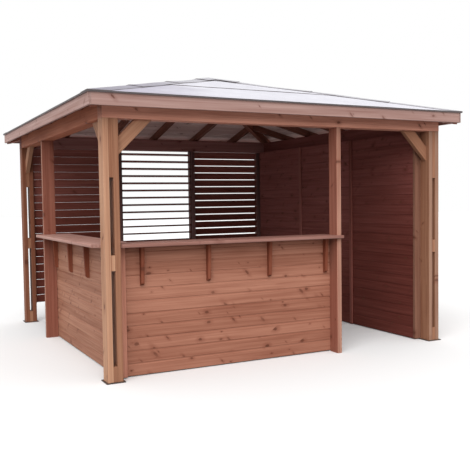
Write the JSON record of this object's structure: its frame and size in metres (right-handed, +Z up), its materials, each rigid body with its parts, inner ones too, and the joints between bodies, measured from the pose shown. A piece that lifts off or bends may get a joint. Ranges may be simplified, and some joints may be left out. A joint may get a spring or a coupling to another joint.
{
  "type": "garden shelter with a corner bar",
  "caption": "Square open timber garden shelter under a hipped felt roof, with a boarded corner bar, a boarded side wall and a louvred back.",
  "frame": {"origin": "on the ground at the middle of the square plan", "axes": "+X to the right along the front, +Y from the front to the louvred back, +Z up"},
  "size_m": [3.564, 3.564, 2.6297],
  "materials": {
    "post_timber": "honey brown stained softwood, planed",
    "beam_timber": "red brown stained softwood, planed",
    "rafter_timber": "dark brown stained softwood",
    "roof_board": "pale wood panel, unstained",
    "roof_felt": "pale grey mineral faced roofing felt",
    "fascia_timber": "rosy tan stained softwood, planed",
    "cladding_board": "red brown stained softwood boards with knots",
    "bar_board": "rosy tan stained softwood, planed",
    "bracket_timber": "red brown stained softwood",
    "louvre_timber": "dark red brown stained softwood",
    "base_steel": "dark weathered steel"
  },
  "bodies": {
    "root": {"front_left_post": "post_timber", "front_right_post": "post_timber", "rear_left_post": "post_timber", "rear_right_post": "post_timber", "post_spacer_blocks": "post_timber", "front_mid_post": "post_timber", "left_mid_post": "post_timber", "rear_mid_posts": "post_timber", "knee_braces": "post_timber", "front_beam": "beam_timber", "rear_beam": "beam_timber", "left_beam": "beam_timber", "right_beam": "beam_timber", "hip_rafters": "rafter_timber", "king_block": "rafter_timber", "rafters": "rafter_timber", "front_roof_deck": "roof_board", "right_roof_deck": "roof_board", "rear_roof_deck": "roof_board", "left_roof_deck": "roof_board", "front_roof_felt": "roof_felt", "right_roof_felt": "roof_felt", "rear_roof_felt": "roof_felt", "left_roof_felt": "roof_felt", "hip_caps": "roof_felt", "front_fascia": "fascia_timber", "rear_fascia": "fascia_timber", "left_fascia": "fascia_timber", "right_fascia": "fascia_timber", "front_counter": "cladding_board", "left_counter": "cladding_board", "right_wall_front": "cladding_board", "right_wall_middle": "cladding_board", "right_wall_rear": "cladding_board", "front_bar_top": "bar_board", "left_bar_top": "bar_board", "bar_brackets": "bracket_timber", "counter_battens": "bracket_timber", "right_wall_strips": "bracket_timber", "louvre_stiles": "louvre_timber", "left_louvres": "louvre_timber", "middle_louvres": "louvre_timber", "right_louvres": "louvre_timber", "post_base_plates": "base_steel"}
  },
  "joints": []
}
